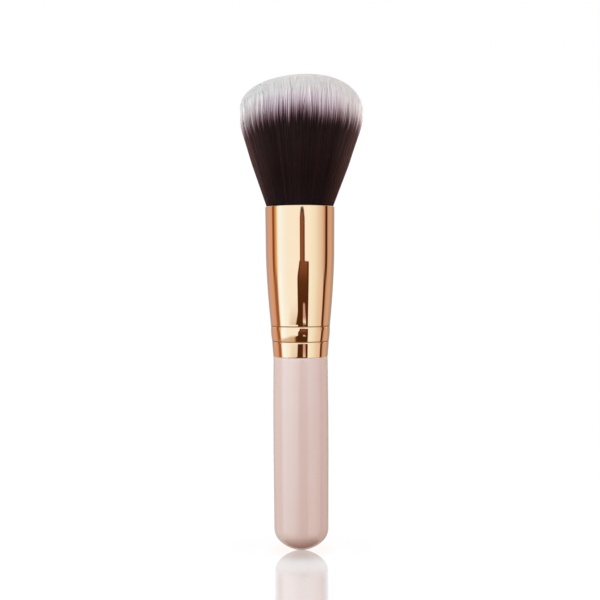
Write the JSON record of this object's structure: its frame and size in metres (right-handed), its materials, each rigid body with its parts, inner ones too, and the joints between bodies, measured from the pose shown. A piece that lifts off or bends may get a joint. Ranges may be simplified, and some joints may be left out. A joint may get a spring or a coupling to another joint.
{
  "type": "makeup brush",
  "caption": "Short-handled makeup brush with a flared, slightly oval, domed tuft of fine filaments in a polished tapered ferrule; spreads and blends powder.",
  "frame": {"origin": "on the brush's axis, at the middle of the handle's cylindrical grip", "axes": "+Z along the brush from the handle's tip towards the tuft; the tuft is wider along X than along Y and leans a little towards +X; the pictured side faces -Y"},
  "size_m": [0.0386, 0.0348, 0.15],
  "materials": {
    "handle_lacquer": "turned hardwood under a glossy nude-pink lacquer",
    "ferrule_metal": "drawn aluminium tube, mirror polished, rose-gold anodised",
    "filament": "fine synthetic filament, dark brown, dyed pale grey at the tips",
    "thread": "twisted undyed thread",
    "resin": "cast amber resin",
    "adhesive": "set white adhesive"
  },
  "bodies": {
    "root": {"handle": "handle_lacquer", "ferrule": "ferrule_metal", "bristles": "filament", "binding_thread": "thread", "root_resin": "resin", "handle_adhesive": "adhesive"}
  },
  "joints": []
}
